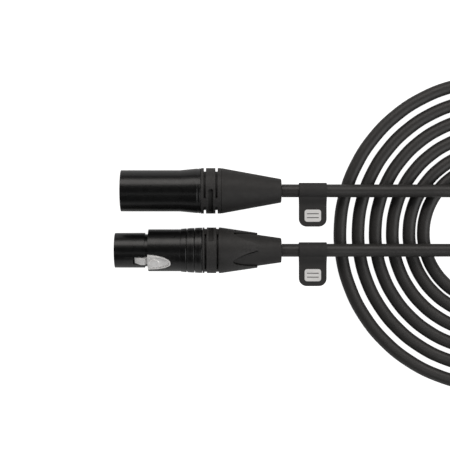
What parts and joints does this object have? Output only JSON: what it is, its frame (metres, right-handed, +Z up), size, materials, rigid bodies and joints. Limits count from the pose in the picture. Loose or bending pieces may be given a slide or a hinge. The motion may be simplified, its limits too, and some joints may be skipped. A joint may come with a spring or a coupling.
{
  "type": "xlr cable coil",
  "caption": "Balanced microphone lead wound into a flat coil, with a pin plug and a latching socket plug side by side and a strap tag behind each.",
  "frame": {"origin": "on the floor, under the middle of the box round the two plugs and the two tags", "axes": "+X along the plugs, from their contacts towards the coil; +Y from the socket plug towards the pin plug; +Z up from the floor"},
  "size_m": [0.2493, 0.148, 0.021],
  "materials": {
    "shell_black": "satin black, finely textured",
    "bushing_black": "satin warm black moulding",
    "boot_rubber": "satin warm black, soft",
    "insulator_black": "matt black moulding",
    "contact_silver": "silver plated",
    "latch_nickel": "bright nickel",
    "spring_steel": "plain spring steel",
    "clamp_grey": "moulded",
    "cord_jacket": "satin dark grey jacket",
    "core_red": "wire insulation",
    "core_white": "wire insulation",
    "drain_copper": "tinned copper strands",
    "tag_charcoal": "matt charcoal strap",
    "patch_light": "matt light grey"
  },
  "bodies": {
    "lead": {"cord_coil": "cord_jacket", "cord_lead_female": "cord_jacket", "cord_lead_male": "cord_jacket", "female_boot": "boot_rubber", "female_bushing": "bushing_black", "female_cable_clamp": "clamp_grey", "female_contact_carrier": "insulator_black", "female_core_cold": "core_white", "female_core_hot": "core_red", "female_drain_wire": "drain_copper", "female_earth_spring": "spring_steel", "female_jacket_end": "cord_jacket", "female_shell": "shell_black", "female_socket_1": "contact_silver", "female_socket_2": "contact_silver", "female_socket_3": "contact_silver", "latch_pivot_pin": "contact_silver", "latch_spring": "spring_steel", "male_boot": "boot_rubber", "male_bushing": "bushing_black", "male_cable_clamp": "clamp_grey", "male_contact_carrier": "insulator_black", "male_core_cold": "core_white", "male_core_hot": "core_red", "male_drain_wire": "drain_copper", "male_jacket_end": "cord_jacket", "male_pin_1": "contact_silver", "male_pin_2": "contact_silver", "male_pin_3": "contact_silver", "male_shell": "shell_black"},
    "latch": {"latch": "latch_nickel"},
    "male_tag": {"male_tag_strap": "tag_charcoal", "male_tag_patch": "patch_light"},
    "female_tag": {"female_tag_strap": "tag_charcoal", "female_tag_patch": "patch_light"}
  },
  "joints": [
    {"name": "latch_press", "type": "hinge", "parent": "lead", "child": "latch", "pos_m": [-0.0247, -0.01533, 0.01665], "axis": [0, -0.7986, -0.6018], "range_deg": [0, 5], "stiffness_Nm_per_rad": 0.4, "springref_deg": -5.73, "deforming": ["latch_spring"]},
    {"name": "male_tag_turn", "type": "hinge", "parent": "lead", "child": "male_tag", "pos_m": [0.0423, 0.0167, 0.0105], "axis": [-1, 0, 0], "range_deg": [-35, 150]},
    {"name": "female_tag_turn", "type": "hinge", "parent": "lead", "child": "female_tag", "pos_m": [0.0423, -0.0107, 0.0105], "axis": [-1, 0, 0], "range_deg": [-35, 150]}
  ]
}
